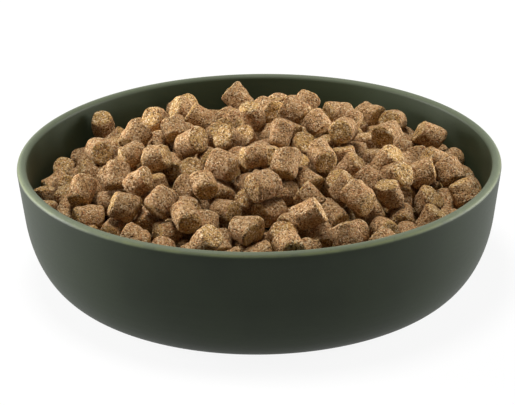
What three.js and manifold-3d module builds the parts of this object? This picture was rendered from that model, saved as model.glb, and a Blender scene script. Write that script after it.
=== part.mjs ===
// A stoneware feeding bowl heaped with dry pet food: short pellets, cut from an extruded rod.
// Millimetres, +Z up. The origin is the middle of the foot ring, on the surface that the bowl stands on.
import * as THREE from 'three';
import { ConvexGeometry } from 'three/addons/geometries/ConvexGeometry.js';
import { mergeVertices } from 'three/addons/utils/BufferGeometryUtils.js';
import Module from 'manifold-3d';

const wasm = await Module();
wasm.setup();

// Bowl, one turned piece
const RIM_RADIUS = 100; // outside, at the lip
const BOWL_HEIGHT = 53;
const WALL = 4; // thickness of the wall, and of the lip that is rounded over it
const FLOOR_TOP = 6; // height of the floor inside
const WALL_DRAFT = 0.117; // how far the wall leans in for each millimetre down
const CORNER_WIDTH = 20.5; // the turn between wall and underside is a quarter of an ellipse
const CORNER_HEIGHT = 39; // top of that ellipse's quarter, above the ground
const FOOT_HEIGHT = 1.2; // the ring under the bowl that it stands on
const FOOT_INSET = 6.5; // its outside from where the underside begins to turn up
const FOOT_WIDTH = 4;
const LIP_STEPS = 4;

// Pellets: short rods with their ends cut a little aslant, no two alike
const PELLET_DIAMETER = 10.3;
const PELLET_LENGTH = 10.5;
const PELLET_SPREAD = 0.1; // how far diameter and length stray, as a share of each
const PELLET_SLANT = 0.2; // steepest slope of a cut end
const PELLET_SIDES = 7;

// Heap: a dome of pellets that sinks towards the wall
const EDGE_DEPTH = 14.5; // its surface below the lip, out at the rim
const CROWN = 22; // its middle above that edge
const BED_DEPTH = 15; // where the lowest modelled pellets stand, below the surface
const SEAT_GAP = 0.3; // clearance between a pellet and what it lies on

// Core: the pellets further down, which nothing shows, as one plain solid
const CORE_DEPTH = 13; // its top below the heap's surface
const CORE_JOIN = 1; // how deep a pellet must reach into it to be one with it
const CORE_STEPS = 24; // round the axis
const CORE_CORNER_STEPS = 3;
const CORE_DOME_STEPS = 3;

// The bowl has two steps for each one of the core, so that the core stays clear of it.
const LATHE_STEPS = 2 * CORE_STEPS;
const CORNER_STEPS = 2 * CORE_CORNER_STEPS;

// Pouring
const SEED = 36;
const CELL = SEAT_GAP / 1.5; // grid of the height map, finer than the gap so that nothing slips through
const BED_TRIES = 400; // places tried for a pellet of the bed
const BED_PULL = 0.4; // height that one millimetre further out is worth, so that the bed packs inwards
const BED_MISSES = 6; // pellets in a row that find no room before the bed is full
const BED_STOCK = 240; // pellets that the bed's are picked from, each with its own lie
const LOOSE_PELLETS = 58;
const LOOSE_LIES = 12; // ways in which each of them may come to lie
const LOOSE_TRIES = 150; // places tried for each
const ROLL_REACH = 12; // cells that a dropped pellet rolls at most, in one step
const ROLL_TRIES = 5; // directions tried for each length of step

const glaze = new THREE.MeshStandardMaterial({ color: 0x3f4537, roughness: 0.5, metalness: 0 });
const crumb = new THREE.MeshStandardMaterial({ color: 0x9c744b, roughness: 0.95, metalness: 0 });

// Solids

// A closed mesh whose shared corners are one, without the empty triangles on a lathe's axis.
function closed(geometry) {
  geometry.deleteAttribute('normal');
  geometry.deleteAttribute('uv');
  const merged = mergeVertices(geometry);
  const index = merged.index.array;
  const kept = [];
  for (let i = 0; i < index.length; i += 3) {
    const [a, b, c] = [index[i], index[i + 1], index[i + 2]];
    if (a !== b && b !== c && c !== a) kept.push(a, b, c);
  }
  merged.setIndex(kept);
  return merged;
}

function lathe(profile, steps) {
  const points = profile.map(([radius, height]) => new THREE.Vector2(radius, height));
  return closed(new THREE.LatheGeometry(points, steps).rotateX(Math.PI / 2));
}

function solidOf(geometry) {
  const vertProperties = new Float32Array(geometry.attributes.position.array);
  const triVerts = new Uint32Array(geometry.index.array);
  return new wasm.Manifold(new wasm.Mesh({ numProp: 3, vertProperties, triVerts }));
}

function geometryOf(solid) {
  const mesh = solid.getMesh();
  const geometry = new THREE.BufferGeometry();
  geometry.setAttribute('position', new THREE.BufferAttribute(mesh.vertProperties, 3));
  geometry.setIndex(new THREE.BufferAttribute(mesh.triVerts, 1));
  return geometry;
}

// Bowl

// One face of the wall: inset from the outside, and turning into a floor at the given height.
// The straight, leaning part meets the ellipse where their slopes are the same.
function wallFace(inset, floor) {
  const width = CORNER_WIDTH - inset;
  const height = CORNER_HEIGHT - floor;
  const slope = (WALL_DRAFT * height) / width;
  const top = BOWL_HEIGHT - WALL / 2;
  const turnHeight = floor + height * (1 - slope / Math.sqrt(1 + slope * slope));
  const turnRadius = RIM_RADIUS - inset - WALL_DRAFT * (top - turnHeight);
  const centre = turnRadius - width / Math.sqrt(1 + slope * slope);
  return { inset, floor, width, height, slope, top, turnHeight, turnRadius, centre };
}

// The points of a wall face from its floor up to the lip.
function facePoints(face, steps) {
  const points = [];
  for (let i = 0; i <= steps; i++) {
    const angle = THREE.MathUtils.lerp(-Math.PI / 2, -Math.atan(face.slope), i / steps);
    const radius = face.centre + face.width * Math.cos(angle);
    points.push([radius, face.floor + face.height * (1 + Math.sin(angle))]);
  }
  return [...points, [RIM_RADIUS - face.inset, face.top]];
}

// The height of a wall face above a given radius, Infinity past the lip.
function faceHeight(face, radius) {
  if (radius <= face.centre) return face.floor;
  if (radius >= RIM_RADIUS - face.inset) return Infinity;
  if (radius >= face.turnRadius) return face.turnHeight + (radius - face.turnRadius) / WALL_DRAFT;
  const across = (radius - face.centre) / face.width;
  return face.floor + face.height * (1 - Math.sqrt(1 - across * across));
}

function bowlGeometry() {
  const inside = facePoints(wallFace(WALL, FLOOR_TOP), CORNER_STEPS);
  const outsideFace = wallFace(0, FOOT_HEIGHT);
  const outside = facePoints(outsideFace, CORNER_STEPS).reverse();
  const lip = [];
  for (let i = 1; i < LIP_STEPS; i++) {
    const angle = Math.PI * (1 - i / LIP_STEPS);
    lip.push([
      RIM_RADIUS + (WALL / 2) * (Math.cos(angle) - 1),
      BOWL_HEIGHT + (WALL / 2) * (Math.sin(angle) - 1),
    ]);
  }
  const footRadius = outsideFace.centre - FOOT_INSET;
  const foot = [
    [footRadius, FOOT_HEIGHT],
    [footRadius, 0],
    [footRadius - FOOT_WIDTH, 0],
    [footRadius - FOOT_WIDTH, FOOT_HEIGHT],
  ];
  const profile = [[0, FLOOR_TOP], ...inside, ...lip, ...outside, ...foot, [0, FOOT_HEIGHT]];
  return lathe(profile.reverse(), LATHE_STEPS);
}

// Random numbers that are the same on every run: a linear congruential generator of 32 bits
const RANDOM_FACTOR = 1664525;
const RANDOM_STEP = 1013904223;
const RANDOM_RANGE = 2 ** 32;
let state = SEED;

function random() {
  state = (state * RANDOM_FACTOR + RANDOM_STEP) % RANDOM_RANGE;
  return state / RANDOM_RANGE;
}

function randomBetween(low, high) {
  return low + (high - low) * random();
}

function randomDirection() {
  const direction = new THREE.Vector3();
  do {
    direction.set(randomBetween(-1, 1), randomBetween(-1, 1), randomBetween(-1, 1));
  } while (direction.length() > 1);
  return direction.normalize();
}

// Pellets

// Distance from the axis to a side's middle and to a corner, for a circle of the same area.
const FLAT = Math.sqrt(Math.PI / (PELLET_SIDES * Math.tan(Math.PI / PELLET_SIDES)));
const CORNER = FLAT / Math.cos(Math.PI / PELLET_SIDES);

// A pellet's own size and cuts. Its z runs along the rod that it was cut from.
function randomShape() {
  const radius = (PELLET_DIAMETER / 2) * randomBetween(1 - PELLET_SPREAD, 1 + PELLET_SPREAD);
  const reach = (PELLET_LENGTH / 2) * randomBetween(1 - PELLET_SPREAD, 1 + PELLET_SPREAD);
  const cuts = [1, -1].map((end) => ({
    end,
    x: randomBetween(-PELLET_SLANT, PELLET_SLANT),
    y: randomBetween(-PELLET_SLANT, PELLET_SLANT),
  }));
  return { radius, reach, cuts };
}

// That pellet, turned as it may come to lie.
function randomLie(shape) {
  const axis = randomDirection();
  const side = randomDirection().cross(axis).normalize();
  const turn = new THREE.Matrix4().makeBasis(side, axis.clone().cross(side), axis);
  const lying = { ...shape, turn };
  return { ...lying, print: footprint(lying), corners: pelletCorners(lying) };
}

// The pellet's faces as planes: every point p inside has normal . p < offset.
function pelletPlanes({ turn, radius, reach, cuts }) {
  const planes = cuts.map(({ end, x, y }) => ({ normal: new THREE.Vector3(x, y, end), offset: reach }));
  for (let i = 0; i < PELLET_SIDES; i++) {
    const angle = ((i + 0.5) / PELLET_SIDES) * 2 * Math.PI;
    planes.push({ normal: new THREE.Vector3(Math.cos(angle), Math.sin(angle), 0), offset: radius * FLAT });
  }
  planes.forEach(({ normal }) => normal.applyMatrix4(turn));
  return planes;
}

// The corners where those planes meet, in a ring round each cut end.
function pelletCorners({ turn, radius, reach, cuts }) {
  const corners = [];
  for (let i = 0; i < PELLET_SIDES; i++) {
    const angle = (i / PELLET_SIDES) * 2 * Math.PI;
    const x = radius * CORNER * Math.cos(angle);
    const y = radius * CORNER * Math.sin(angle);
    for (const cut of cuts) {
      const z = cut.end * (reach - cut.x * x - cut.y * y);
      corners.push(new THREE.Vector3(x, y, z).applyMatrix4(turn));
    }
  }
  return corners;
}

function pelletGeometry({ pellet }) {
  return closed(new ConvexGeometry(pellet.corners));
}

// Height map of the pour: one cell at index column + row * SPAN
const HALF_SPAN = Math.ceil((RIM_RADIUS + PELLET_LENGTH + PELLET_DIAMETER) / CELL);
const SPAN = 2 * HALF_SPAN + 1;
const MIDDLE = HALF_SPAN * (SPAN + 1);

// The cells that a pellet covers, seen from above, with its underside and top over each of them.
// Half the seat gap is added all round, so that two pellets that touch here keep the whole gap.
function footprint(lying) {
  const planes = pelletPlanes(lying).map(({ normal, offset }) => ({
    normal,
    offset: offset + (SEAT_GAP / 2) * normal.length(),
  }));
  const half = Math.ceil((lying.radius + lying.reach) / CELL);
  const print = [];
  for (let row = -half; row <= half; row++) {
    for (let column = -half; column <= half; column++) {
      let under = -Infinity;
      let over = Infinity;
      for (const { normal, offset } of planes) {
        const height = (offset - (normal.x * column + normal.y * row) * CELL) / normal.z;
        if (normal.z > 0) over = Math.min(over, height);
        else under = Math.max(under, height);
      }
      if (under < over) print.push({ shift: column + row * SPAN, under, over });
    }
  }
  return print;
}

// The heap's surface, taken smooth over the pellets' tops.
function surface(radius) {
  const share = radius / RIM_RADIUS;
  return BOWL_HEIGHT - EDGE_DEPTH + CROWN * (1 - share * share);
}

function coreSolid() {
  const face = wallFace(WALL + SEAT_GAP, FLOOR_TOP + SEAT_GAP);
  const filling = [[0, face.floor], ...facePoints(face, CORE_CORNER_STEPS), [0, face.top]];
  const dome = [[0, 0], [RIM_RADIUS, 0]];
  for (let i = CORE_DOME_STEPS; i >= 0; i--) {
    const radius = (RIM_RADIUS * i) / CORE_DOME_STEPS;
    dome.push([radius, surface(radius) - CORE_DEPTH]);
  }
  return solidOf(lathe(filling, CORE_STEPS)).intersect(solidOf(lathe(dome, CORE_STEPS)));
}

// Where a pellet comes to lie when it is let down straight above a cell. Its level is the height
// of its middle above the surface, and it likes a place better the lower its rank is.
function drop(pellet, column, row, pull) {
  const cell = MIDDLE + column + row * SPAN;
  let height = -Infinity;
  for (const { shift, under } of pellet.print) height = Math.max(height, ground[cell + shift] - under);
  const radius = CELL * Math.sqrt(column * column + row * row);
  const level = height - surface(radius);
  return { pellet, column, row, x: column * CELL, y: row * CELL, height, rank: level - pull * radius };
}

// The best of several random places for a pellet of the stock, from where it rolls on into the
// nearest hollow.
function pour(stock, tries, pull, allowed) {
  const inner = (RIM_RADIUS - WALL) / CELL;
  let best = { rank: Infinity };
  const keepBetter = (place) => {
    if (place.rank < best.rank && allowed(place)) best = place;
  };
  for (let i = 0; i < tries; i++) {
    const pellet = stock[Math.floor(random() * stock.length)];
    const column = Math.round(randomBetween(-inner, inner));
    const row = Math.round(randomBetween(-inner, inner));
    if (column * column + row * row < inner * inner) keepBetter(drop(pellet, column, row, pull));
  }
  for (let reach = ROLL_REACH; reach > 0 && best.pellet; reach--) {
    for (let i = 0; i < ROLL_TRIES; i++) {
      const column = best.column + Math.round(randomBetween(-reach, reach));
      const row = best.row + Math.round(randomBetween(-reach, reach));
      keepBetter(drop(best.pellet, column, row, pull));
    }
  }
  return best;
}

function stamp({ pellet, column, row, height }) {
  const cell = MIDDLE + column + row * SPAN;
  for (const { shift, over } of pellet.print) {
    ground[cell + shift] = Math.max(ground[cell + shift], height + over);
  }
}

// Whether a pellet's lowest corner is deep enough in the core.
function reachesCore({ pellet, x, y, height }) {
  return pellet.corners.some((corner) => {
    const coreTop = surface(Math.hypot(x + corner.x, y + corner.y)) - CORE_DEPTH;
    return height + corner.z < coreTop - CORE_JOIN;
  });
}

// Raises the height map wherever it lies below a height that depends on the radius.
function fillTo(heightAt) {
  for (let row = -HALF_SPAN; row <= HALF_SPAN; row++) {
    for (let column = -HALF_SPAN; column <= HALF_SPAN; column++) {
      const cell = MIDDLE + column + row * SPAN;
      const height = heightAt(CELL * Math.sqrt(column * column + row * row));
      ground[cell] = Math.max(ground[cell], height);
    }
  }
}

const bedStock = Array.from({ length: BED_STOCK }, () => randomLie(randomShape()));
const looseStocks = Array.from({ length: LOOSE_PELLETS }, () => {
  const shape = randomShape();
  return Array.from({ length: LOOSE_LIES }, () => randomLie(shape));
});

// Before the pour the map holds the inside of the bowl, filled up to where the bed stands.
const ground = new Float64Array(SPAN * SPAN);
const liner = wallFace(WALL + SEAT_GAP / 2, FLOOR_TOP + SEAT_GAP / 2);
fillTo((radius) => faceHeight(liner, radius / Math.cos(Math.PI / LATHE_STEPS)));
fillTo((radius) => surface(radius) - BED_DEPTH);

// The bed: pellets that stand in the core and are one with it.
const bedPlaces = [];
for (let misses = 0; misses < BED_MISSES; ) {
  const place = pour(bedStock, BED_TRIES, BED_PULL, reachesCore);
  if (place.pellet) {
    stamp(place);
    bedPlaces.push(place);
    misses = 0;
  } else misses++;
}

// The pellets on top of it, each free.
fillTo((radius) => surface(radius) - CORE_DEPTH + SEAT_GAP / 2);
const loosePlaces = looseStocks.map((stock) => {
  const place = pour(stock, LOOSE_TRIES, 0, () => true);
  stamp(place);
  return place;
});

// Assembly
const model = new THREE.Group();

function addPart(name, geometry, material) {
  const mesh = new THREE.Mesh(geometry, material);
  mesh.name = name;
  model.add(mesh);
  return mesh;
}

addPart('bowl', bowlGeometry(), glaze);

let bed = coreSolid();
for (const place of bedPlaces) {
  const pellet = pelletGeometry(place).translate(place.x, place.y, place.height);
  bed = bed.add(solidOf(pellet));
}
addPart('kibble_bed', geometryOf(bed), crumb);

loosePlaces.forEach((place, i) => {
  const pellet = addPart(`pellet_${String(i + 1).padStart(2, '0')}`, pelletGeometry(place), crumb);
  pellet.position.set(place.x, place.y, place.height);
});

export default model;
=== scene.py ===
import math

import bpy
import numpy as np
from mathutils import Matrix, Vector


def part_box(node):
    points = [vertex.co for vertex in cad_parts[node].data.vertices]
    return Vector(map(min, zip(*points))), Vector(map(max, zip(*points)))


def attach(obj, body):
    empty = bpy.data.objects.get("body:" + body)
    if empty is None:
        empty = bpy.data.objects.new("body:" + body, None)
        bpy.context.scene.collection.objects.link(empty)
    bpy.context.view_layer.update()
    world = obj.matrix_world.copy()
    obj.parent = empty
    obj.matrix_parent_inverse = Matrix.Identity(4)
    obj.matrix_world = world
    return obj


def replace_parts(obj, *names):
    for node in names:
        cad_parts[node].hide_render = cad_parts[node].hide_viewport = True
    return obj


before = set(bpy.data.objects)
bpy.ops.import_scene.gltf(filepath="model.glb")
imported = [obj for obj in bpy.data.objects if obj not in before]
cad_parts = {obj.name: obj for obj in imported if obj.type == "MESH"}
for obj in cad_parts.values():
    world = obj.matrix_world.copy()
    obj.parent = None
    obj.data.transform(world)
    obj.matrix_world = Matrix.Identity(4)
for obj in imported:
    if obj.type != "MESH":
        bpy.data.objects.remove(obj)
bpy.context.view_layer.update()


# The bowl is one piece of stoneware, turned on a wheel: leaning walls that sweep round into the
# floor, a lip rounded over the wall's thickness, and a low foot ring. A satin green glaze covers
# it, thin and paler over the lip, where the edge breaks through yellowish, and the foot is bare.
# The paler lip is partly a painted highlight, and the inside is painted lighter as painted light
# and reflection from the food.
METRE = 1000.0  # in millimetres, which the shapes are worked out in
RIM_RADIUS = 100.0  # outside, at the lip
BOWL_HEIGHT = 53.0
WALL = 4.0
FLOOR_TOP = 6.0
WALL_DRAFT = 0.117  # how far the wall leans out for each millimetre of height
CORNER_WIDTH = 20.5  # of the ellipse that turns the outside of the wall into the base
CORNER_HEIGHT = 39.0
FOOT_HEIGHT = 1.2
FOOT_INSET = 6.5
FOOT_WIDTH = 4.0
FOOT_ROUNDING = 0.35
WHEEL_STEPS = 240  # points round the bowl, and the steps of its outline's parts
CORNER_STEPS = 26
WALL_STEPS = 6
LIP_STEPS = 16
FLOOR_STEPS = 12
UNDERSIDE_STEPS = 8
FOOT_STEPS = 4

THIN_AND_HIGHLIGHT_START = 0.08  # where the thin glaze and its painted highlight start over the lip, as a share from inside to outside
THIN_AND_HIGHLIGHT_WIDTH = 0.86
THIN_AND_HIGHLIGHT_INSIDE = 0.45  # how much of it there is at the inner edge
THIN_AND_HIGHLIGHT_GROWTH = 1.6
BREAK_CENTRE = 0.80
BREAK_WIDTH = 0.09

CLOUD = 22.0  # sizes of the glaze's patches, throwing rings, specks, broken spots and orange peel
THROWING = 26.0
SPECK = 0.9
BROKEN_SPOT = 9.0
PEEL = 1.6
ALONG_THE_WHEEL = (1.0, 1.0, 9.0)
GLAZE = (0.018, 0.025, 0.013, 1.0)
GLAZE_POOLED = (0.015, 0.021, 0.011, 1.0)
# the inside is painted lighter and browner: painted light and reflection from the food
GLAZE_INSIDE_PAINTED_LIGHT = (0.036, 0.046, 0.023, 1.0)
# thin glaze over the lip, lightened further as a painted highlight
GLAZE_THIN_AND_HIGHLIGHT = (0.132, 0.153, 0.098, 1.0)
GLAZE_BREAK = (0.150, 0.172, 0.078, 1.0)
GLAZE_SPECK = (0.012, 0.012, 0.010, 1.0)
BARE_CLAY = (0.44, 0.34, 0.24, 1.0)
GLAZE_SPECULAR = 0.17


class Socket:
    """A shader socket that stands in Python sums. Each operator adds the Math node for it."""

    tree = None

    def __init__(self, link):
        self.link = link

    @classmethod
    def node(cls, kind, settings, inputs, output=0):
        """Any node: its type, its settings, then the values or sockets that feed it."""
        node = cls.tree.nodes.new("ShaderNode" + kind)
        for name, value in settings.items():
            setattr(node, name, value)
        for name, value in inputs.items():
            if isinstance(value, Socket):
                cls.tree.links.new(value.link, node.inputs[name])
            else:
                node.inputs[name].default_value = value
        return cls(node.outputs[output]) if node.outputs else None

    def maths(self, operation, first, second):
        return self.node("Math", {"operation": operation}, {0: first, 1: second})

    def __add__(self, other):
        return self.maths("ADD", self, other)

    def __sub__(self, other):
        return self.maths("SUBTRACT", self, other)

    def __rsub__(self, other):
        return self.maths("SUBTRACT", other, self)

    def __mul__(self, other):
        return self.maths("MULTIPLY", self, other)

    __radd__ = __add__
    __rmul__ = __mul__

    def rise(self, low, high):
        """0 below low and 1 above high, smooth between them."""
        limits = {"Value": self, "From Min": low, "From Max": high}
        return self.node("MapRange", {"interpolation_type": "SMOOTHSTEP"}, limits)

    def mix(self, plain, covered):
        """The plain colour where this mask is 0, and the covering one where it is 1."""
        return self.node("Mix", {"data_type": "RGBA"}, {0: self, 6: plain, 7: covered}, 2)

    def tint(self, colour):
        """The colour darkened or lightened by this factor."""
        settings = {"data_type": "RGBA", "blend_type": "MULTIPLY"}
        return self.node("Mix", settings, {0: 1.0, 6: colour, 7: self}, 2)


def begin_finish(name):
    material = bpy.data.materials.new(name)
    material.use_nodes = True
    material.node_tree.nodes.clear()
    Socket.tree = material.node_tree
    return material


def end_finish(surface):
    Socket.node("OutputMaterial", {}, {"Surface": surface})


def noise(place, size, detail=2.0, roughness=0.5):
    """Noise whose patches are about this many millimetres across."""
    inputs = {"Vector": place, "Scale": METRE / size, "Detail": detail, "Roughness": roughness}
    return Socket.node("TexNoise", {}, inputs, "Fac")


def painted(name):
    """A value that the mesh carries for each of its points."""
    return Socket.node("Attribute", {"attribute_name": name}, {}, "Fac")


def wall_face(inset, floor):
    """One face of the wall. Its straight part meets the ellipse below where their slopes agree."""
    width = CORNER_WIDTH - inset
    height = CORNER_HEIGHT - floor
    slope = WALL_DRAFT * height / width
    top = BOWL_HEIGHT - WALL / 2
    turn_height = floor + height * (1 - slope / math.sqrt(1 + slope * slope))
    turn_radius = RIM_RADIUS - inset - WALL_DRAFT * (top - turn_height)
    centre = turn_radius - width / math.sqrt(1 + slope * slope)
    return dict(inset=inset, floor=floor, width=width, height=height, slope=slope, top=top,
                turn_height=turn_height, turn_radius=turn_radius, centre=centre)


def face_points(face):
    """Radius and height of a face's points, from its floor up to the lip."""
    points = []
    for i in range(CORNER_STEPS + 1):
        angle = -math.pi / 2 + (math.pi / 2 - math.atan(face["slope"])) * i / CORNER_STEPS
        radius = face["centre"] + face["width"] * math.cos(angle)
        points.append((radius, face["floor"] + face["height"] * (1 + math.sin(angle))))
    for i in range(1, WALL_STEPS + 1):
        height = face["turn_height"] + (face["top"] - face["turn_height"]) * i / WALL_STEPS
        points.append((face["turn_radius"] + WALL_DRAFT * (height - face["turn_height"]), height))
    return points


def floor_points(outer, height, steps):
    """A flat ring of points, from the axis out to a radius."""
    return [(outer * i / steps, height) for i in range(1, steps)]


def arc(radius, height, size, start, end, steps):
    """A rounded edge in the outline: part of a circle, its angles in degrees."""
    angles = [math.radians(start + (end - start) * i / steps) for i in range(steps + 1)]
    return [(radius + size * math.cos(a), height + size * math.sin(a)) for a in angles]


def evenly_glazed(points, bare=0.0):
    """Points of the outline with no thin glaze, no painted highlight and no broken glaze."""
    return [(radius, height, 0.0, 0.0, bare) for radius, height in points]


def lip_points():
    """The rounded lip, from inside to outside, with how thin its glaze is and how much painted highlight
    it carries, and how broken its glaze is.
    """
    points = []
    for i in range(1, LIP_STEPS):
        share = i / LIP_STEPS
        angle = math.pi * (1 - share)
        radius = RIM_RADIUS + WALL / 2 * (math.cos(angle) - 1)
        height = BOWL_HEIGHT + WALL / 2 * (math.sin(angle) - 1)
        thin_and_highlight = math.sin(math.pi * min(1.0, max(0.0, share - THIN_AND_HIGHLIGHT_START) / THIN_AND_HIGHLIGHT_WIDTH)) ** 0.6
        thin_and_highlight *= THIN_AND_HIGHLIGHT_INSIDE + (1 - THIN_AND_HIGHLIGHT_INSIDE) * min(1.0, THIN_AND_HIGHLIGHT_GROWTH * share)
        broken = math.exp(-((share - BREAK_CENTRE) / BREAK_WIDTH) ** 2)
        points.append((radius, height, thin_and_highlight, broken, 0.0))
    return points


def bowl_outline():
    """The bowl's outline, with how thin the glaze is there and how much painted highlight it carries, how
    broken and how bare.
    """
    inside = wall_face(WALL, FLOOR_TOP)
    outside = wall_face(0.0, FOOT_HEIGHT)
    size = FOOT_ROUNDING
    foot_outer = outside["centre"] - FOOT_INSET
    foot_inner = foot_outer - FOOT_WIDTH
    return np.array(
        evenly_glazed(floor_points(inside["centre"], FLOOR_TOP, FLOOR_STEPS))
        + evenly_glazed(face_points(inside))
        + lip_points()
        + evenly_glazed(reversed(face_points(outside)))
        + evenly_glazed([(foot_outer, FOOT_HEIGHT)])
        + evenly_glazed(arc(foot_outer - size, size, size, 0, -90, FOOT_STEPS), bare=1.0)
        + evenly_glazed(arc(foot_inner + size, size, size, -90, -180, FOOT_STEPS), bare=1.0)
        + evenly_glazed([(foot_inner, FOOT_HEIGHT)])
        + evenly_glazed(reversed(floor_points(foot_inner, FOOT_HEIGHT, UNDERSIDE_STEPS))))


def wrapped(rings, steps):
    """Quads between rings of points, and fans of triangles to the two poles, which come last."""
    first, last = rings * steps, rings * steps + 1
    faces = []
    for ring in range(rings - 1):
        low, high = ring * steps, (ring + 1) * steps
        for i in range(steps):
            j = (i + 1) % steps
            faces.append((low + i, high + i, high + j, low + j))
    top = (rings - 1) * steps
    for i in range(steps):
        j = (i + 1) % steps
        faces.append((first, i, j))
        faces.append((last, top + j, top + i))
    return faces


def add_piece(name, points, faces, values, material):
    """A smooth mesh from points in millimetres, which carries values at its points."""
    mesh = bpy.data.meshes.new(name)
    mesh.from_pydata((np.asarray(points) / METRE).tolist(), [], faces)
    mesh.shade_smooth()
    for key, value in values.items():
        layer = mesh.attributes.new(key, "FLOAT", "POINT")
        layer.data.foreach_set("value", np.asarray(value, dtype=np.float32))
    mesh.materials.append(material)
    piece = bpy.data.objects.new(name, mesh)
    bpy.context.scene.collection.objects.link(piece)
    return piece


def turned_bowl(material):
    outline = bowl_outline()
    turn = np.arange(WHEEL_STEPS) / WHEEL_STEPS * 2 * math.pi
    radius, height = outline[:, 0, None], outline[:, 1, None]
    points = np.stack([radius * np.cos(turn), radius * np.sin(turn), height + 0 * turn], axis=-1)
    poles = [(0.0, 0.0, FLOOR_TOP), (0.0, 0.0, FOOT_HEIGHT)]
    points = np.concatenate([points.reshape(-1, 3), poles])
    values = {}
    for column, key in enumerate(("thin_and_highlight", "broken", "bare"), start=2):
        values[key] = np.concatenate([np.repeat(outline[:, column], WHEEL_STEPS), [0.0, 0.0]])
    # where the inside's painted light goes
    inside = np.arange(len(outline)) < outline[:, 1].argmax()
    values["inside"] = np.concatenate([np.repeat(inside, WHEEL_STEPS), [1.0, 0.0]])
    return add_piece("bowl_body", points, wrapped(len(outline), WHEEL_STEPS), values, material)


glaze = begin_finish("glaze_satin_green")
place = Socket.node("TexCoord", {}, {}, "Object")
cloudy = noise(place, CLOUD, 3.0)
flow = Socket.node("VectorMath", {"operation": "MULTIPLY"}, {0: place, 1: ALONG_THE_WHEEL})
throwing = noise(flow, THROWING, 2.0)
speck = noise(place, SPECK, 1.0)
bare = painted("bare")
thin_and_highlight = painted("thin_and_highlight") * (0.86 + 0.28 * cloudy)
broken = painted("broken") * noise(place, BROKEN_SPOT, 2.0).rise(0.25, 0.6)
colour = cloudy.rise(0.3, 0.7).mix(GLAZE_POOLED, GLAZE)
# painted light: the inside is lighter and browner, as if lit and reflecting the food
colour = painted("inside").mix(colour, GLAZE_INSIDE_PAINTED_LIGHT)
# the lip is paler from thin glaze and from a painted highlight
colour = thin_and_highlight.mix(colour, GLAZE_THIN_AND_HIGHLIGHT)
colour = (broken * 0.8).mix(colour, GLAZE_BREAK)
colour = (speck.rise(0.66, 0.8) * 0.35).mix(colour, GLAZE_SPECK)
colour = bare.mix(colour, BARE_CLAY)
roughness = 0.44 + 0.10 * cloudy + 0.06 * speck + 0.3 * bare
relief = throwing * 0.7 + noise(place, PEEL, 2.0) * 0.10
bumps = Socket.node("Bump", {}, {"Strength": 0.5, "Distance": 0.0002, "Height": relief}, "Normal")
end_finish(Socket.node("BsdfPrincipled", {}, {
    "Base Color": colour, "Roughness": roughness, "Normal": bumps, "Specular IOR Level": GLAZE_SPECULAR}))

bowl = turned_bowl(glaze)
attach(bowl, "root")
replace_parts(bowl, "bowl")


# The heap is poured: each pellet falls on those below, rolls into the nearest hollow, and its
# underside rests on them. Lengths and widths differ a little, and so does the slant of the cuts.
# The pour is worked out on a height map, in the same steps that gave the solids their places.
PELLET_DIAMETER = 10.3
PELLET_LENGTH = 10.5
PELLET_SPREAD = 0.1  # of either size, up and down
PELLET_SLANT = 0.2
PELLET_SIDES = 7  # in the solids, whose corners the pour works with
EDGE_DEPTH = 14.5  # of the heap's mean surface, below the lip, where it would meet the outside
CROWN = 22.0  # how much higher it is in the middle
BED_DEPTH = 15.0
SEAT_GAP = 0.3
CORE_DEPTH = 13.0  # of the solid food in the middle, below the surface
CORE_JOIN = 1.0
WALL_SIDES = 48
CELL = SEAT_GAP / 1.5  # of the height map
BED_TRIES = 400
BED_PULL = 0.4  # how much a place nearer the middle counts against a lower one
BED_MISSES = 6
BED_STOCK = 240
LOOSE_PELLETS = 58
LOOSE_LIES = 12
LOOSE_TRIES = 150
ROLL_REACH = 12
ROLL_TRIES = 5
DEEP_DEPTH = 41.0  # how far the pellets under the bed reach below the heap's surface
DEEP_TOP = 11.5  # and how near the surface their tops may come
DEEP_TRIES = 300
SEED = 36
RANDOM_FACTOR = 1664525
RANDOM_STEP = 1013904223
RANDOM_RANGE = 2 ** 32

state = SEED


def random():
    global state
    state = (state * RANDOM_FACTOR + RANDOM_STEP) % RANDOM_RANGE
    return state / RANDOM_RANGE


def random_between(low, high):
    return low + (high - low) * random()


def random_whole(low, high):
    return math.floor(random_between(low, high) + 0.5)


def unit(vector):
    x, y, z = vector
    return vector * (1 / math.sqrt(x * x + y * y + z * z))


def cross(a, b):
    return np.array([a[1] * b[2] - a[2] * b[1], a[2] * b[0] - a[0] * b[2], a[0] * b[1] - a[1] * b[0]])


def random_direction():
    while True:
        x, y, z = random_between(-1, 1), random_between(-1, 1), random_between(-1, 1)
        if math.sqrt(x * x + y * y + z * z) <= 1:
            return unit(np.array([x, y, z]))


def turned(turn, x, y, z):
    """A point of a pellet's own frame, in which z runs along the rod, as it lies in the heap."""
    return turn[0] * x + turn[1] * y + turn[2] * z


FLAT = math.sqrt(math.pi / (PELLET_SIDES * math.tan(math.pi / PELLET_SIDES)))
CORNER = FLAT / math.cos(math.pi / PELLET_SIDES)
HALF_SPAN = math.ceil((RIM_RADIUS + PELLET_LENGTH + PELLET_DIAMETER) / CELL)
SPAN = 2 * HALF_SPAN + 1
MIDDLE = HALF_SPAN * (SPAN + 1)


def random_shape():
    """A pellet's own size and the slants of its cut ends."""
    radius = PELLET_DIAMETER / 2 * random_between(1 - PELLET_SPREAD, 1 + PELLET_SPREAD)
    reach = PELLET_LENGTH / 2 * random_between(1 - PELLET_SPREAD, 1 + PELLET_SPREAD)
    cuts = []
    for end in (1, -1):
        x = random_between(-PELLET_SLANT, PELLET_SLANT)
        cuts.append((end, x, random_between(-PELLET_SLANT, PELLET_SLANT)))
    return dict(radius=radius, reach=reach, cuts=cuts)


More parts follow.
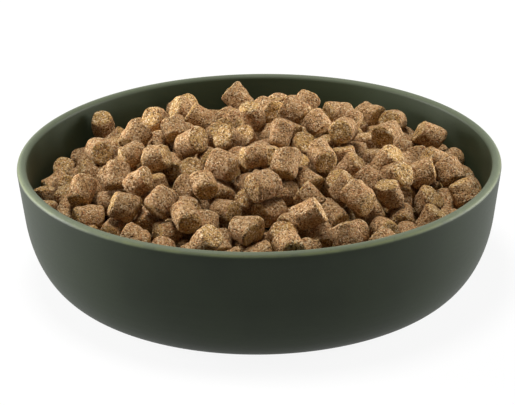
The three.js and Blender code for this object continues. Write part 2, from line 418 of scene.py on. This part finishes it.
def random_lie(shape):
    """That pellet, turned as it may come to lie."""
    axis = random_direction()
    side = unit(cross(random_direction(), axis))
    pellet = dict(shape, turn=(side, cross(axis, side), axis))
    pellet["corners"] = pellet_corners(pellet)
    pellet.update(footprint(pellet))
    return pellet


def pellet_corners(pellet):
    corners = []
    for i in range(PELLET_SIDES):
        angle = i / PELLET_SIDES * 2 * math.pi
        x = pellet["radius"] * CORNER * math.cos(angle)
        y = pellet["radius"] * CORNER * math.sin(angle)
        for end, cut_x, cut_y in pellet["cuts"]:
            z = end * (pellet["reach"] - cut_x * x - cut_y * y)
            corners.append(turned(pellet["turn"], x, y, z))
    return np.array(corners)


def footprint(pellet):
    """The cells that a pellet covers from above, with its underside and top over each of them."""
    planes = [((x, y, end), pellet["reach"]) for end, x, y in pellet["cuts"]]
    for i in range(PELLET_SIDES):
        angle = (i + 0.5) / PELLET_SIDES * 2 * math.pi
        planes.append(((math.cos(angle), math.sin(angle), 0.0), pellet["radius"] * FLAT))
    half = math.ceil((pellet["radius"] + pellet["reach"]) / CELL)
    row, column = np.mgrid[-half:half + 1, -half:half + 1]
    under = np.full(row.shape, -np.inf)
    over = np.full(row.shape, np.inf)
    for outward, offset in planes:
        normal = turned(pellet["turn"], *outward)
        grown = offset + SEAT_GAP / 2 * math.sqrt(sum(n * n for n in normal))
        height = (grown - (normal[0] * column + normal[1] * row) * CELL) / normal[2]
        if normal[2] > 0:
            over = np.minimum(over, height)
        else:
            under = np.maximum(under, height)
    covered = under < over
    shift = (column + row * SPAN)[covered]
    return dict(shift=shift, under=under[covered], over=over[covered])


def surface(radius):
    """The heap's mean height."""
    share = radius / RIM_RADIUS
    return BOWL_HEIGHT - EDGE_DEPTH + CROWN * (1 - share * share)


def face_height(face, radius):
    """How high a face of the wall is at each radius."""
    across = np.clip((radius - face["centre"]) / face["width"], 0, 1)
    height = face["floor"] + face["height"] * (1 - np.sqrt(1 - across * across))
    straight = face["turn_height"] + (radius - face["turn_radius"]) / WALL_DRAFT
    height = np.where(radius >= face["turn_radius"], straight, height)
    height = np.where(radius <= face["centre"], face["floor"], height)
    return np.where(radius >= RIM_RADIUS - face["inset"], np.inf, height)


def lined_bowl(depth):
    """The height map before a pour: the bowl's inside, filled up to a depth below the surface."""
    liner = wall_face(WALL + SEAT_GAP / 2, FLOOR_TOP + SEAT_GAP / 2)
    inside = face_height(liner, cell_radius / math.cos(math.pi / WALL_SIDES))
    return np.maximum(np.maximum(0.0, inside), surface(cell_radius) - depth)


def drop(pellet, column, row, level):
    """Where a pellet comes to lie below a cell, ranked by its height over a level at that radius."""
    cell = MIDDLE + column + row * SPAN
    height = float((ground[cell + pellet["shift"]] - pellet["under"]).max())
    radius = CELL * math.sqrt(column * column + row * row)
    rank = height - level(radius)
    return dict(pellet=pellet, column=column, row=row, height=height, rank=rank,
                spot=np.array([column * CELL, row * CELL, height]))


def pour(stock, tries, level, allowed):
    """The best of several random places for a pellet of the stock, from where it rolls on."""
    inner = (RIM_RADIUS - WALL) / CELL
    best = None

    def better(found):
        if (best is None or found["rank"] < best["rank"]) and allowed(found):
            return found
        return best

    for _ in range(tries):
        pellet = stock[math.floor(random() * len(stock))]
        column, row = random_whole(-inner, inner), random_whole(-inner, inner)
        if column * column + row * row < inner * inner:
            best = better(drop(pellet, column, row, level))
    if best:
        for reach in range(ROLL_REACH, 0, -1):
            for _ in range(ROLL_TRIES):
                column = best["column"] + random_whole(-reach, reach)
                row = best["row"] + random_whole(-reach, reach)
                best = better(drop(best["pellet"], column, row, level))
    return best


def covered_cells(found):
    return MIDDLE + found["column"] + found["row"] * SPAN + found["pellet"]["shift"]


def stamp(found):
    """Raise the height map to the top of a pellet."""
    cells = covered_cells(found)
    ground[cells] = np.maximum(ground[cells], found["height"] + found["pellet"]["over"])


def pour_until_full(stock, tries, level, allowed):
    places, misses = [], 0
    while misses < BED_MISSES:
        found = pour(stock, tries, level, allowed)
        if found:
            stamp(found)
            places.append(found)
            misses = 0
        else:
            misses += 1
    return places


def bed_level(radius):
    return surface(radius) + BED_PULL * radius


def deep_level(radius):
    return -surface(radius)


def anywhere(_):
    return True


def reaches_core(found):
    """Whether a pellet of the bed dips into the solid food, and so holds to it."""
    corners = found["spot"] + found["pellet"]["corners"]
    core_top = surface(np.hypot(corners[:, 0], corners[:, 1])) - CORE_DEPTH
    return bool((corners[:, 2] < core_top - CORE_JOIN).any())


def clears_bowl(found):
    limit = bowl_below[covered_cells(found)]
    return bool((found["height"] + found["pellet"]["over"] < limit).all())


bed_stock = [random_lie(random_shape()) for _ in range(BED_STOCK)]
loose_stocks = []
for _ in range(LOOSE_PELLETS):
    shape = random_shape()
    loose_stocks.append([random_lie(shape) for _ in range(LOOSE_LIES)])
cell_row, cell_column = np.mgrid[-HALF_SPAN:HALF_SPAN + 1, -HALF_SPAN:HALF_SPAN + 1]
cell_radius = (CELL * np.sqrt(cell_column * cell_column + cell_row * cell_row)).ravel()
ground = lined_bowl(BED_DEPTH)
bed_places = pour_until_full(bed_stock, BED_TRIES, bed_level, reaches_core)
ground = np.maximum(ground, surface(cell_radius) - CORE_DEPTH + SEAT_GAP / 2)
loose_places = []
for stock in loose_stocks:
    loose_places.append(pour(stock, LOOSE_TRIES, surface, anywhere))
    stamp(loose_places[-1])

# Below the bed, where its gaps let the eye in, the pour runs upside down: each pellet rises until
# it meets those above, so that heights, tops and undersides change signs.
ground = DEEP_TOP - surface(cell_radius)
for found in bed_places + loose_places:
    cells = covered_cells(found)
    ground[cells] = np.maximum(ground[cells], -found["height"] - found["pellet"]["under"])
bowl_below = -lined_bowl(DEEP_DEPTH)
deep_stock = [dict(pellet, under=-pellet["over"], over=-pellet["under"]) for pellet in bed_stock]
deep_places = pour_until_full(deep_stock, DEEP_TRIES, deep_level, clears_bowl)
for found in deep_places:
    found["spot"][2] *= -1


# A pellet is a short length of an extruded rod of meal, cut off by a knife and dried. Its sides
# have a smooth, greyish skin, its cut ends show golden grain, and its edges have crumbled round.
# It is barrelled or waisted a little, and pitted all over with grains and holes of half a millimetre, and
# the holes are painted dark as painted shade.
GRAIN = 0.55  # sizes in millimetres of what covers the surface
PIT = 2.4
PATCH = 4.0
WANDER = 1.4
WANDER_REACH = 0.5
SWELL = 5.5
KNOB = 1.9
SWELL_HEIGHT = 0.13
SWELL_WAVES = 7
KNOB_HEIGHT = 0.06
KNOB_WAVES = 18
WAVE_SPREAD = (0.7, 1.4)
EDGE_ROUNDING = (0.8, 1.8)
DOME = (-0.1, 0.6)
BARREL = (-0.05, 0.09)
TAPER = (-0.06, 0.06)
OVAL = (0.0, 0.05)
FACETS = (0.0, 0.022)
FINE = (7, 4, 14, 44)  # points across a cut end, round its edge, along the side, and round the rod
MEDIUM = (5, 4, 10, 36)
COARSE = (2, 2, 4, 18)
BED_RINGS = ((34.0, 1), (66.0, 4), (RIM_RADIUS, 6))  # outer radius and number of sectors
DEEP_RINGS = ((RIM_RADIUS, 2),)
BELOW_ONE = 0.9999
SAME_PLACE = 1e-5  # metres

SKIN = (0.425, 0.250, 0.108, 1.0)
CUT_END = (0.475, 0.290, 0.100, 1.0)
TOASTED = (0.330, 0.175, 0.075, 1.0)
PALE_GRAIN = (0.780, 0.620, 0.400, 1.0)
# dark grains, and also the painted shade in the pits
DARK_GRAIN_AND_PIT_SHADE = (0.075, 0.024, 0.003, 1.0)
RED_GRAIN = (0.360, 0.125, 0.050, 1.0)
CRUMB_SPECULAR = 0.12


def lumps(points, whims, count, size, height):
    """Random swells and hollows of about this size, as a sum of waves in all directions."""
    waves = whims.normal(size=(3, count))
    lengths = size * whims.uniform(*WAVE_SPREAD, count)
    waves *= 2 * math.pi / (lengths * np.linalg.norm(waves, axis=0))
    phases = whims.uniform(0, 2 * math.pi, count)
    return height * math.sqrt(2 / count) * np.sin(points @ waves + phases).sum(axis=1)


def rod_outline(radius, reach, roundings, detail):
    """Radius, height and share of cut end along a rod's outline, from one end to the other."""
    across, round_edge, along, _ = detail
    ends = []
    for rounding in roundings:
        end = []
        for i in range(1, across + 1):
            end.append(((radius - rounding) * i / across, reach, 1.0))
        for i in range(1, round_edge + 1):
            angle = math.pi / 2 * (1 - i / round_edge)
            height = reach - rounding * (1 - math.sin(angle))
            end.append((radius - rounding * (1 - math.cos(angle)), height, math.sin(angle)))
        ends.append(end)
    top, bottom = ends[0][-1][1], -ends[1][-1][1]
    side = [(radius, top + (bottom - top) * i / along, 0.0) for i in range(1, along)]
    return np.array(ends[0] + side + [(r, -z, cut) for r, z, cut in reversed(ends[1])])


def shaped_pellet(found, detail, whims):
    """One pellet's points as it lies in the heap, with what its finish needs at each of them."""
    pellet = found["pellet"]
    radius, reach = pellet["radius"], pellet["reach"]
    outline = rod_outline(radius, reach, whims.uniform(*EDGE_ROUNDING, 2), detail)
    steps = detail[3]
    turn = np.arange(steps) / steps * 2 * math.pi
    rho = np.concatenate([np.repeat(outline[:, 0], steps), (0, 0)])
    z = np.concatenate([np.repeat(outline[:, 1], steps), (reach, -reach)])
    turn = np.concatenate([np.tile(turn, len(outline)), (0, 0)])
    cut = np.concatenate([np.repeat(outline[:, 2], steps), (1.0, 1.0)])
    along = z / reach
    swell = 1 + whims.uniform(*BARREL) * (0.4 - along * along) + whims.uniform(*TAPER) * along
    for lobes, depth in ((2, OVAL), (3, FACETS), (5, FACETS)):
        swell += whims.uniform(*depth) * np.cos(lobes * (turn - whims.uniform(0, 2 * math.pi)))
    x, y = rho * swell * np.cos(turn), rho * swell * np.sin(turn)
    domes = np.where(along > 0, whims.uniform(*DOME), whims.uniform(*DOME))
    z = z + np.sign(along) * domes * cut * (0.4 - (rho / radius) ** 2)
    for end, cut_x, cut_y in pellet["cuts"]:
        z = z - end * np.clip(end * along, 0, 1) * (cut_x * x + cut_y * y)
    points = np.stack([x, y, z], axis=1)
    outward = points / (radius ** 2, radius ** 2, reach ** 2)
    outward /= np.linalg.norm(outward, axis=1, keepdims=True)
    rise = lumps(points, whims, SWELL_WAVES, SWELL, SWELL_HEIGHT)
    rise += lumps(points, whims, KNOB_WAVES, KNOB, KNOB_HEIGHT)
    points += outward * rise[:, None]
    placed = turned(pellet["turn"], *[points[:, i:i + 1] for i in range(3)]) + found["spot"]
    lot = np.ones(len(points))
    return placed, dict(cut=cut, tone=whims.uniform() * lot, toast=whims.uniform() * lot)


def add_pellets(name, places, detail, material):
    """One piece of one or more pellets."""
    across, round_edge, along, steps = detail
    shape = wrapped(2 * (across + round_edge) + along - 1, steps)
    points, faces, values = [], [], dict(cut=[], tone=[], toast=[])
    for found in places:
        start = sum(len(part) for part in points)
        whims = np.random.default_rng(abs(found["column"] * SPAN + found["row"]))
        placed, painted_on = shaped_pellet(found, detail, whims)
        points.append(placed)
        faces += [tuple(start + i for i in face) for face in shape]
        for key, value in painted_on.items():
            values[key].append(value)
    values = {key: np.concatenate(parts) for key, parts in values.items()}
    piece = add_piece(name, np.concatenate(points), faces, values, material)
    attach(piece, "root")
    return piece


def by_sector(places, rings):
    """Groups of neighbouring places, from the middle out."""
    groups = {}
    for found in places:
        x, y = found["spot"][0], found["spot"][1]
        ring = next(i for i, (outer, _) in enumerate(rings) if math.hypot(x, y) <= outer)
        share = math.atan2(y, x) / (2 * math.pi) + 0.5
        sector = math.floor(share * rings[ring][1] * BELOW_ONE)
        groups.setdefault((ring, sector), []).append(found)
    return [groups[key] for key in sorted(groups)]


crumb = begin_finish("crumb_kibble")
place = Socket.node("TexCoord", {}, {}, "Object")
wander = {"Vector": place, "Scale": METRE / WANDER, "Detail": 1.0}
wander = Socket.node("TexNoise", {}, wander, "Color")
wander = {0: wander, "Scale": WANDER_REACH / METRE}
wander = Socket.node("VectorMath", {"operation": "SCALE"}, wander)
grains_at = Socket.node("VectorMath", {"operation": "ADD"}, {0: place, 1: wander})
grain = {"Vector": grains_at, "Scale": METRE / GRAIN}
grain_rise = 1 - Socket.node("TexVoronoi", {}, grain, "Distance")
grain_lots = Socket.node("TexVoronoi", {}, grain, "Color")
bright_lot = Socket.node("SeparateColor", {}, {0: grain_lots}, "Red")
dark_lot = Socket.node("SeparateColor", {}, {0: grain_lots}, "Green")
red_lot = Socket.node("SeparateColor", {}, {0: grain_lots}, "Blue")
# pits: sunk by the bumps and painted dark as painted shade
pit_with_painted_shade = Socket.node("TexVoronoi", {}, {"Vector": grains_at, "Scale": METRE / PIT}, "Distance")
pit_with_painted_shade = 1 - pit_with_painted_shade.rise(0.10, 0.26)
patches = noise(place, PATCH, 2.0)
fine = noise(place, GRAIN, 3.0, 0.7)
cut = (painted("cut") + (patches - 0.5) * 0.5).rise(0.35, 0.75)
colour = cut.mix(SKIN, CUT_END)
toast = patches.rise(0.45, 0.75) + painted("toast").rise(0.55, 1.0)
colour = (toast * 0.35).mix(colour, TOASTED)
colour = (red_lot.rise(0.80, 0.92) * 0.6).mix(colour, RED_GRAIN)
colour = (bright_lot.rise(0.55, 0.95) * (0.50 + 0.25 * cut)).mix(colour, PALE_GRAIN)
colour = (dark_lot.rise(0.60, 0.92) * 0.75).mix(colour, DARK_GRAIN_AND_PIT_SHADE)
# painted shade in the pits
colour = (pit_with_painted_shade * 0.5).mix(colour, DARK_GRAIN_AND_PIT_SHADE)
colour = ((0.90 + 0.24 * painted("tone")) * (2.05 * fine)).tint(colour)
roughness = 0.78 + 0.17 * fine
relief = grain_rise * 0.8 + fine * 0.35 + patches * 0.5 - pit_with_painted_shade * 0.8
bumps = Socket.node("Bump", {}, {"Strength": 0.9, "Distance": 0.0005, "Height": relief}, "Normal")
end_finish(Socket.node("BsdfPrincipled", {}, {
    "Base Color": colour, "Roughness": roughness, "Normal": bumps, "Specular IOR Level": CRUMB_SPECULAR}))

for i, found in enumerate(loose_places, start=1):
    node = f"pellet_{i:02d}"
    low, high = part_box(node)
    corners = (found["spot"] + found["pellet"]["corners"]) / METRE
    for side, corner in ((corners.min(axis=0), low), (corners.max(axis=0), high)):
        assert np.allclose(side, corner, atol=SAME_PLACE), f"{node} lies elsewhere in the solids"
    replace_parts(add_pellets(f"loose_{i:02d}", [found], FINE, crumb), node)

for i, group in enumerate(by_sector(bed_places, BED_RINGS), start=1):
    piece = add_pellets(f"bed_{i:02d}", group, MEDIUM, crumb)
    if i == 1:
        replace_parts(piece, "kibble_bed")
for i, group in enumerate(by_sector(deep_places, DEEP_RINGS), start=1):
    add_pellets(f"deep_{i:02d}", group, COARSE, crumb)


# The bowl stands on a pale table without edges, in a white surround. A soft lamp hangs over it, a
# little to the front, two low, wide ones stand at its sides, and the room fills in from all round.
TABLE = (0.90, 0.90, 0.89, 1.0)
TABLE_SIZE = 12.0  # metres, as in the rest of this section
TABLE_GLOW = 0.90  # how much of the table that shows is the plain white of the surround
WHITE = (1.0, 1.0, 1.0, 1.0)
ROOM = (0.95, 0.975, 1.0, 1.0)
ROOM_STRENGTH = 0.07
LAMPS_AIM = (0.0, 0.0, 0.04)
OVER_LAMP = dict(place=(-0.12, -0.06, 1.20), size=(0.4, 0.3), power=12.4)
SIDE_LAMPS = (
    dict(place=(-1.0, 0.25, 0.18), size=(0.6, 0.34), power=20.0),
    dict(place=(1.0, 0.27, 0.18), size=(0.6, 0.34), power=15.0),
)


def background_share():
    """1 for rays that show the surround itself, or show it in a reflection."""
    rays = [Socket.node("LightPath", {}, {}, f"Is {kind} Ray")
            for kind in ("Camera", "Glossy", "Transmission")]
    return (rays[0] + rays[1] + rays[2]).rise(0.0, 1.0)


def add_lamp(name, place, size, power):
    light = bpy.data.lights.new(name, "AREA")
    light.shape = "RECTANGLE"
    light.size, light.size_y = size
    light.energy = power
    lamp = bpy.data.objects.new(name, light)
    lamp.location = place
    beam = Vector(LAMPS_AIM) - Vector(place)
    lamp.rotation_euler = beam.to_track_quat("-Z", "Y").to_euler()
    bpy.context.scene.collection.objects.link(lamp)


table_finish = begin_finish("table_pale")
plain = Socket.node("BsdfDiffuse", {}, {"Color": TABLE})
glow = Socket.node("Emission", {}, {"Color": WHITE, "Strength": 1.0})
end_finish(Socket.node("MixShader", {}, {0: background_share() * TABLE_GLOW, 1: plain, 2: glow}))
half = TABLE_SIZE / 2 * METRE
table = add_piece("table", [(-half, -half, 0), (half, -half, 0), (half, half, 0), (-half, half, 0)],
                  [(0, 1, 2, 3)], {}, table_finish)

world = bpy.data.worlds.new("surround")
bpy.context.scene.world = world
world.use_nodes = True
world.node_tree.nodes.clear()
Socket.tree = world.node_tree
room = Socket.node("Background", {}, {"Color": ROOM, "Strength": ROOM_STRENGTH})
surround = Socket.node("Background", {}, {"Color": WHITE, "Strength": 1.0})
Socket.node("OutputWorld", {}, {
    "Surface": Socket.node("MixShader", {}, {0: background_share(), 1: room, 2: surround})})

add_lamp("over_lamp", **OVER_LAMP)
for side, lamp in zip(("left", "right"), SIDE_LAMPS):
    add_lamp(f"{side}_lamp", **lamp)


# The camera stands in front, about 22 degrees above the lip, and far enough for a long lens. It
# looks a little below the lip, and is turned by less than a degree.
SENSOR = 36.0
LENS = 151.8
CAMERA_REACH = 50.0
CAMERA_DISTANCE = 0.900
CAMERA_ELEVATION = math.radians(21.9)
CAMERA_ROLL = math.radians(-0.64)
AIM = Vector((-0.00085, 0.0, 0.0313))

camera = bpy.data.objects.new("camera", bpy.data.cameras.new("camera"))
camera.data.lens = LENS
camera.data.sensor_width = SENSOR
camera.data.clip_end = CAMERA_REACH
stand = Vector((0, -math.cos(CAMERA_ELEVATION), math.sin(CAMERA_ELEVATION))) * CAMERA_DISTANCE
camera.location = stand + Vector((0, 0, BOWL_HEIGHT / METRE))
look = (AIM - camera.location).to_track_quat("-Z", "Y").to_matrix()
camera.rotation_euler = (look @ Matrix.Rotation(CAMERA_ROLL, 3, "Z")).to_euler()
bpy.context.scene.collection.objects.link(camera)
bpy.context.scene.camera = camera
bpy.context.scene.view_settings.view_transform = "Standard"
